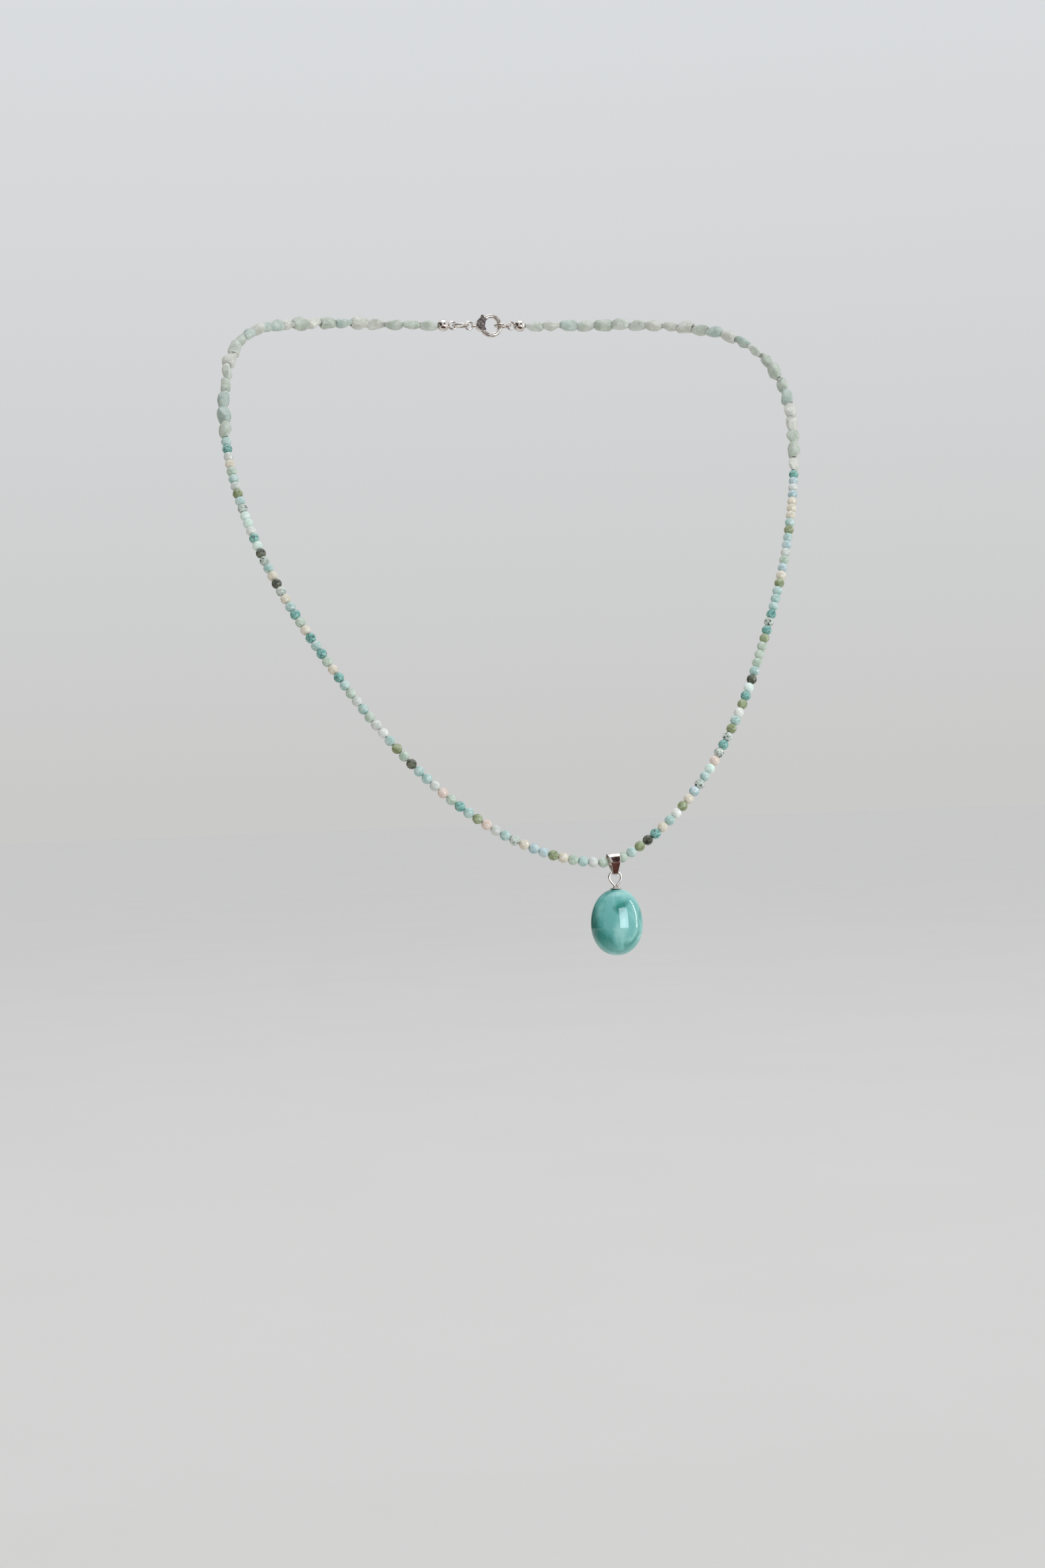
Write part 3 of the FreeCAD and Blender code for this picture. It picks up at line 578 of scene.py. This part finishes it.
def stringStones(name, node, stones, material, smooth, seed):
    # one piece for a run of stones: (points and faces, distance, body, cloud, flecks) for each
    random = Random(seed)
    points, faces, tints = [], [], []
    for (shape, distance, body, cloud, flecks) in stones:
        place, direction = onLine(distance)
        spin = Matrix.Rotation(random.uniform(0, anyTurn), 3, "Z")
        turned = direction.to_track_quat("Z", "Y").to_matrix() @ spin
        start = len(points)
        points += [place + turned @ point for point in shape[0]]
        faces += [tuple(start + corner for corner in face) for face in shape[1]]
        shift = [random.uniform(0, grainRange) for _ in range(3)]
        tints += [(body, cloud, flecks, shift)] * len(shape[0])
    piece = addPiece(name, points, faces, material, smooth)
    bodies, clouds, flecks, shifts = zip(*tints)
    layers = (("bodyTint", "FLOAT_COLOR", "color", [value for tint in bodies for value in tint]),
              ("cloudTint", "FLOAT_COLOR", "color", [value for tint in clouds for value in tint]),
              ("flecks", "FLOAT", "value", flecks),
              ("grainShift", "FLOAT_VECTOR", "vector",
               [value for shift in shifts for value in shift]))
    for layer, kind, field, values in layers:
        piece.data.attributes.new(layer, kind, "POINT").data.foreach_set(field, values)
    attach(piece, "strand")
    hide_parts(node)
    return piece


def shareOut(items, groups):
    short, extra = divmod(len(items), groups)
    runs = []
    start = 0
    for number in range(groups):
        end = start + short + (1 if number < extra else 0)
        runs.append(items[start:end])
        start = end
    return runs


def beadOf(letter, distance, random):
    return (facetedBead(random), distance, *beadTints[letter])


sideSeeds = {"left": 41, "right": 77}
groupCounts = {"left": 7, "right": 6, "nuggets": 4}
nuggetCounts = {"left": 22, "right": 24}
nuggetOverlap = 1.04     # a nugget's length against its pitch
nuggetSeed = 20          # added to a group's number
tipBall = 1.6 * mm       # the wire's length inside a bead tip
beadMaterial = amazoniteFinish()
nuggetMaterial = nuggetFinish()
bailBead = middle("bead_in_bail")
bailDistance = nearestOnLine(bailBead)


def stringSide(side):
    random = Random(sideSeeds[side])
    sign = -1 if side == "left" else 1
    letters = beadStrings[side].replace(" ", "")
    if side == "left":
        letters = letters[::-1]   # counted from the bail, like the right side
    beads = [beadOf(letter, bailDistance + sign * beadShape["pitch"] * number, random)
             for number, letter in enumerate(letters, start=1)]
    for number, run in enumerate(shareOut(beads, groupCounts[side]), start=1):
        name = "beads_%s_%d" % (side, number)
        stringStones("facetedBeads_%s_%d" % (side, number), name, run,
                                   beadMaterial, False, number)
    inner = beadShape["pitch"] * (len(letters) + 0.5)
    whole = bailDistance if side == "left" else wireLength - bailDistance
    outer = whole - tipBall
    nodes = ["nuggets_%s_%d" % (side, number) for number in range(1, groupCounts["nuggets"] + 1)]
    count = nuggetCounts[side]
    pitch = (outer - inner) / count
    nuggets = []
    for number in range(count):
        body, cloud = nuggetShape["tints"][random.randrange(len(nuggetShape["tints"]))]
        distance = bailDistance + sign * (inner + pitch * (number + 0.5))
        nuggets.append((tumbledNugget(random, pitch * nuggetOverlap), distance, body, cloud, 0.0))
    for number, (node, run) in enumerate(zip(nodes, shareOut(nuggets, len(nodes))), start=1):
        piece = stringStones("tumbledNuggets_%s_%d" % (side, number), node, run,
                             nuggetMaterial, True, nuggetSeed + number)
        soften(piece, 1)
    print("%s side strung: %d beads, %d nuggets at %.2f mm"
          % (side, len(letters), count, pitch / mm))


stringSide("left")
stringSide("right")
stringStones("facetedBead_in_bail", "bead_in_bail", [beadOf("c", bailDistance, Random(5))],
             beadMaterial, False, 9)
wire.data.materials.append(cableFinish())


bailShape = {
    "topRadius": 1.68 * mm,      # to the middle of the strip
    "footRadius": 0.58 * mm,
    "drop": 2.46 * mm,
    "strip": 0.36 * mm,
    "topWidth": 3.10 * mm,
    "footWidth": 1.00 * mm,
    "crown": 0.07 * mm,
    "innerCrown": 0.3,           # of the crown, on the side towards the bead
    "tilt": 5.0,                 # degrees, the right end up
    "topSteps": 22,
    "footSteps": 8,
    "straight": (0.2, 0.4, 0.6, 0.8),
    # round the strip: shares of its half width and of its half thickness
    "section": (
        (-0.86, 1.0), (-0.45, 1.0), (0.0, 1.0), (0.45, 1.0), (0.86, 1.0),
        (0.97, 0.85), (1.0, 0.4), (1.0, -0.4), (0.97, -0.85),
        (0.86, -1.0), (0.0, -1.0), (-0.86, -1.0),
        (-0.97, -0.85), (-1.0, -0.4), (-1.0, 0.4), (-0.97, 0.85),
    ),
}


def bailLoop(shape):
    # the strip's middle line: two arcs and the two straights that touch both
    big, small, drop = shape["topRadius"], shape["footRadius"], shape["drop"]
    lean = math.asin((big - small) / drop)
    foot = Vector((0, 0, -drop))
    back, front = math.pi + lean, -lean

    def outward(angle):
        return Vector((0, math.cos(angle), math.sin(angle)))

    line = []
    for step in range(shape["topSteps"] + 1):
        angle = lerp(front, back, step / shape["topSteps"])
        line.append((outward(angle) * big, angle))
    for share in shape["straight"]:
        line.append(((outward(back) * big).lerp(foot + outward(back) * small, share), back))
    for step in range(shape["footSteps"] + 1):
        angle = lerp(back, 2 * math.pi - lean, step / shape["footSteps"])
        line.append((foot + outward(angle) * small, angle))
    for share in shape["straight"]:
        line.append(((foot + outward(front) * small).lerp(outward(front) * big, share), front))
    return line


def makeBail(shape):
    low = -shape["drop"] - shape["footRadius"]
    line = bailLoop(shape)
    section = shape["section"]
    points = []
    for place, angle in line:
        height = (place.z - low) / (shape["topRadius"] - low)
        half = lerp(shape["footWidth"], shape["topWidth"], height) / 2
        outward = Vector((0, math.cos(angle), math.sin(angle)))
        for across, out in section:
            crown = shape["crown"] * (1 - across * across) * (1 if out > 0 else shape["innerCrown"])
            rise = out * shape["strip"] / 2 + crown
            points.append(place + Vector((across * half, 0, 0)) + outward * rise)
    turned = Matrix.Translation(bailBead) @ Matrix.Rotation(math.radians(-shape["tilt"]), 4, "Y")
    faces = joinRings(len(line), len(section), closed=True)
    piece = addPiece("foldedBail", [turned @ point for point in points], faces,
                     silverFinish("bailSilver", 1.0, 0.09))
    soften(piece, 2)
    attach(piece, "bail")
    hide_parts("bail")
    return piece


bail = makeBail(bailShape)
print("bail folded")

pegLow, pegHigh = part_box("eye_peg")
cupLow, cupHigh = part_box("peg_cup")
stoneLow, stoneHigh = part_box("pendant_stone")
pendantX = (pegLow.x + pegHigh.x) / 2
pendantY = (stoneLow.y + stoneHigh.y) / 2
eyeWire = {
    "thickness": 0.5 * mm,
    "loopRadius": 1.4 * mm,
    "loopDegrees": range(-48, 229, 12),
    "twist": 0.21 * mm,      # from the middle of the two twisted wires
    "turns": 2.5,
    "steps": 26,
    "neckGap": 0.12 * mm,    # above the cup
    "legSpread": 0.52 * mm,
    "legDrop": 0.80,         # of the way from the loop's middle down to the neck
}


def makeEyePeg(look):
    # one wire: up from the peg, round the eye, and back down, twisted on itself
    centre = Vector((pendantX, pendantY, pegHigh.z - look["loopRadius"] - look["thickness"] / 2))
    neck = cupHigh.z + look["neckGap"]
    foot = pegLow.z + look["thickness"] / 2
    tail = []
    for step in range(look["steps"] + 1):
        share = step / look["steps"]
        angle = math.pi * 2 * look["turns"] * share
        tail.append(Vector((look["twist"] * math.cos(angle), look["twist"] * math.sin(angle),
                            lerp(neck, foot, share))))
    ring = []
    for degrees in look["loopDegrees"]:
        angle = math.radians(degrees)
        ring.append(centre + Vector((math.cos(angle), 0, math.sin(angle))) * look["loopRadius"])
    leg = Vector((pendantX + look["legSpread"], pendantY, lerp(centre.z, neck, look["legDrop"])))
    path = [Vector((pendantX + p.x, pendantY + p.y, p.z)) for p in reversed(tail)]
    path += [leg] + ring + [Vector((2 * pendantX - leg.x, pendantY, leg.z))]
    path += [Vector((pendantX - p.x, pendantY - p.y, p.z)) for p in tail]
    piece = layCurve("eyeWireAndPeg", path, order=4, resolution=6)
    piece.data.bevel_depth = look["thickness"] / 2 / thinRadius
    piece.data.bevel_resolution = 6
    piece.data.use_fill_caps = True
    piece.data.materials.append(silverFinish("eyeSilver", 1.6, 0.12))
    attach(piece, "pendant")
    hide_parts("eye_peg")


def turnedPiece(name, profile, sides, centre, material, ripple):
    # a closed profile of (radius, height) turned about an upright line
    points = []
    for radius, height in profile:
        for side in range(sides):
            turn = 2 * math.pi * side / sides
            reach = radius * (1 + ripple(turn, height))
            points.append(centre + Vector((reach * math.cos(turn), reach * math.sin(turn), height)))
    return addPiece(name, points, joinRings(len(profile), sides, closed=True), material)


cupShape = {
    "flutes": 12,
    "depth": 0.035,
    "crest": 0.6,              # how much of each flute stands proud of the middle
    "fluted": (0.45, 0.93),    # of the height
    "sides": 48,
    # shares of the outer radius and of the height, from the bore outwards and up
    "profile": (
        (0.37, 0.02), (0.86, 0.02), (0.97, 0.06), (1.0, 0.18), (0.98, 0.32),
        (0.92, 0.40), (0.88, 0.42), (0.80, 0.55), (0.66, 0.76), (0.50, 0.91),
        (0.40, 0.99), (0.37, 0.95), (0.365, 0.5),
    ),
}


def makeCup(look):
    radius = (cupHigh.x - cupLow.x) / 2
    height = cupHigh.z - cupLow.z
    base = Vector((pendantX, pendantY, cupLow.z))
    profile = [(share * radius, rise * height) for share, rise in look["profile"]]
    low, high = look["fluted"]

    def flute(turn, rise):
        if not low * height < rise < high * height:
            return 0
        return look["depth"] * (abs(math.cos(look["flutes"] * turn / 2)) - look["crest"])

    piece = turnedPiece("flutedCup", profile, look["sides"], base,
                        silverFinish("cupSilver", 1.4, 0.10), flute)
    soften(piece, 1)
    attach(piece, "pendant")
    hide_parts("peg_cup")


stoneShape = {
    "rings": 44,
    "sides": 64,
    "squareness": 2.12,     # 2 is a true ellipse, more is fuller at the shoulders
    "widest": 0.47,         # of the height, from the bottom
    "footCut": 0.02,        # radians left open at the very foot
    "topCut": 0.13,         # and at the top, round the hole
    "topFlat": 0.05 * mm,   # ground off the top
    "unevenness": 0.008,
    # the drilled hole, over the lip, down the wall and across its floor:
    # shares of its radius, and depths
    "hole": 0.56 * mm,
    "drilled": ((1.12, 0.0), (1.0, 0.06 * mm), (1.0, 4.2 * mm), (0.3, 4.2 * mm)),
}


def makeStone(shape):
    half = (stoneHigh - stoneLow) / 2
    height = stoneHigh.z - stoneLow.z
    belly = stoneLow.z + shape["widest"] * height
    power = shape["squareness"]
    rings, sides = shape["rings"], shape["sides"]
    points = []
    for ring in range(rings):
        angle = lerp(-math.pi / 2 + shape["footCut"], math.pi / 2 - shape["topCut"],
                     ring / (rings - 1))
        rise = math.copysign(abs(math.sin(angle)) ** (2 / power), angle)
        across = math.cos(angle) ** (2 / power)
        reach = stoneHigh.z + shape["topFlat"] - belly if rise > 0 else belly - stoneLow.z
        for side in range(sides):
            turn = 2 * math.pi * side / sides
            spot = Vector((math.cos(turn) * 1.3, math.sin(turn) * 1.3, angle * 1.1))
            hand = 1 + shape["unevenness"] * noise.noise(spot)
            points.append(Vector((pendantX + half.x * across * math.cos(turn) * hand,
                                  pendantY + half.y * across * math.sin(turn) * hand,
                                  min(belly + reach * rise, stoneHigh.z))))
    for radius, depth in shape["drilled"]:
        for side in range(sides):
            turn = 2 * math.pi * side / sides
            points.append(Vector((pendantX + shape["hole"] * radius * math.cos(turn),
                                  pendantY + shape["hole"] * radius * math.sin(turn),
                                  stoneHigh.z - depth)))
    rings += len(shape["drilled"])
    faces = joinRings(rings, sides)
    faces.append(tuple(reversed(range(sides))))
    faces.append(tuple(range((rings - 1) * sides, rings * sides)))
    centre = (stoneLow + stoneHigh) / 2
    piece = addPiece("pendantStone", points, faces, pendantStoneFinish(centre, half))
    soften(piece, 1)
    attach(piece, "pendant")
    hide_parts("pendant_stone")


makeEyePeg(eyeWire)
makeCup(cupShape)
makeStone(stoneShape)
print("pendant made")


def finishCadNodes():
    finishes = {
        "tipSilver": (silverFinish("tipSilver", 1.2, 0.11),
                      ("bead_tip_left", "bead_tip_right", "crimp_left", "crimp_right")),
        "ringSilver": (silverFinish("ringSilver", 1.8, 0.13), ("jump_ring", "end_ring")),
        "claspSilver": (silverFinish("claspSilver", 1.1, 0.14),
                        ("clasp_body", "clasp_lever", "clasp_rivet")),
        "springSteel": (springFinish(), ("lever_spring",)),
        "cement": (cementFinish(), ("peg_cement",)),
    }
    for material, nodes in finishes.values():
        for node in nodes:
            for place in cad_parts[node].material_slots:
                place.material = material


finishCadNodes()
print("clasp and tips finished")


# the pale floor, the lights and the dark cards that the silver and the stone mirror

floorLook = {
    "height": -0.27,
    "radius": 9.0,
    "rings": 12,            # closer together towards the middle
    "sides": 48,
    "light": rgb(226, 223, 218),
    "dark": rgb(222, 219, 214),
}


def layFloor(look):
    sides = look["sides"]
    points = [(0, 0, look["height"])]
    for ring in range(1, look["rings"] + 1):
        reach = look["radius"] * (ring / look["rings"]) ** 2
        for side in range(sides):
            turn = 2 * math.pi * side / sides
            points.append((reach * math.cos(turn), reach * math.sin(turn), look["height"]))
    faces = [(0, 1 + side, 1 + (side + 1) % sides) for side in range(sides)]
    faces += [tuple(1 + corner for corner in reversed(face))
              for face in joinRings(look["rings"], sides)]
    material, shader = shaderOf("paleFloor", Roughness=0.8, Specular_IOR_Level=0.15)
    space = millimetreSpace(material, (0.012, 0.012, 0.012))
    tone = mixed(material, noiseAt(material, space, 1.0, 4), look["light"], look["dark"])
    wireUp(material, tone, shader, "Base Color")
    floor = addPiece("floor", points, faces, material)
    return floor


cards = [
    # name, middle, towards, width, height, colour
    ("woodCard", (-0.10, -0.29, -0.262), (-0.10, -0.29, 0.0), 0.62, 0.46, rgb(92, 44, 32)),
    ("leftCard", (-0.75, -0.20, -0.02), (0.0, -0.05, -0.10), 1.10, 1.60, rgb(72, 52, 44)),
    ("backCard", (-0.62, 0.62, -0.02), (0.0, -0.05, -0.10), 0.80, 1.20, rgb(60, 42, 36)),
    ("frontCard", (0.17, -0.54, 0.05), (0.006, -0.074, -0.134), 0.28, 0.80, rgb(78, 46, 38)),
]


cardLook = {"columns": 6, "bend": 0.03, "mottle": 0.6}


def hangCard(name, place, target, width, height, colour):
    # a slightly bent card, seen only in reflections
    columns = cardLook["columns"]
    points = []
    for column in range(columns + 1):
        across = column / columns * 2 - 1
        for row in (-1, 1):
            points.append((across * width / 2, row * height / 2,
                           cardLook["bend"] * width * across * across))
    faces = [(2 * n, 2 * n + 2, 2 * n + 3, 2 * n + 1) for n in range(columns)]
    material, shader = shaderOf(name + "Paint", Roughness=0.9)
    space = millimetreSpace(material, (0.05, 0.01, 0.05))
    darker = tuple(v * cardLook["mottle"] for v in colour[:3]) + (1.0,)
    tone = mixed(material, noiseAt(material, space, 1.0, 4), colour, darker)
    wireUp(material, tone, shader, "Base Color")
    card = addPiece(name, points, faces, material)
    card.location = place
    card.rotation_euler = (Vector(target) - Vector(place)).to_track_quat("Z", "Y").to_euler()
    card.visible_camera = False
    card.visible_shadow = False
    card.visible_diffuse = False


def softLight(name, place, size, power, colour):
    data = bpy.data.lights.new(name, "AREA")
    data.shape = "RECTANGLE"
    data.size, data.size_y = size
    data.energy = power
    data.color = colour
    light = bpy.data.objects.new(name, data)
    light.location = place
    aim = middle("pendant_stone") - Vector(place)
    light.rotation_euler = aim.to_track_quat("-Z", "Y").to_euler()
    light.visible_camera = False
    scene.collection.objects.link(light)
    return light


lights = [
    # name, place, size, power, colour
    ("window", (0.186, -0.480, -0.085), (0.20, 0.25), 0.80, (0.78, 0.90, 1.0)),
    ("rightStrip", (0.86, -0.33, 0.02), (0.05, 0.80), 1.6, (1.0, 0.99, 0.97)),
    ("skyPanel", (0.10, -0.10, 1.30), (1.2, 1.2), 4.0, (0.94, 0.97, 1.0)),
]


roomLook = {"low": rgb(204, 204, 203), "high": rgb(231, 235, 240), "highAt": 0.55, "strength": 0.98}


def makeRoom(look):
    world = bpy.data.worlds.new("room")
    scene.world = world
    world.use_nodes = True
    nodes = world.node_tree.nodes
    links = world.node_tree.links
    place = nodes.new("ShaderNodeTexCoord")
    split = nodes.new("ShaderNodeSeparateXYZ")
    ramp = nodes.new("ShaderNodeValToRGB")
    links.new(place.outputs["Generated"], split.inputs[0])
    links.new(split.outputs["Z"], ramp.inputs["Fac"])
    stops = ramp.color_ramp.elements
    stops[0].position, stops[0].color = 0.0, look["low"]
    stops[1].position, stops[1].color = look["highAt"], look["high"]
    links.new(ramp.outputs["Color"], nodes["Background"].inputs["Color"])
    nodes["Background"].inputs["Strength"].default_value = look["strength"]


def keepOff(light, pieces):
    # this light leaves these pieces out
    spared = bpy.data.collections.new(light.name + "Spares")
    for piece in pieces:
        spared.objects.link(piece)
    light.light_linking.receiver_collection = spared
    for entry in spared.collection_objects:
        entry.light_linking.link_state = "EXCLUDE"


floor = layFloor(floorLook)
for card in cards:
    hangCard(*card)
placed = {light[0]: softLight(*light) for light in lights}
keepOff(placed["window"], [bail, floor])
keepOff(placed["rightStrip"], [floor])
makeRoom(roomLook)
print("stage and lights set")
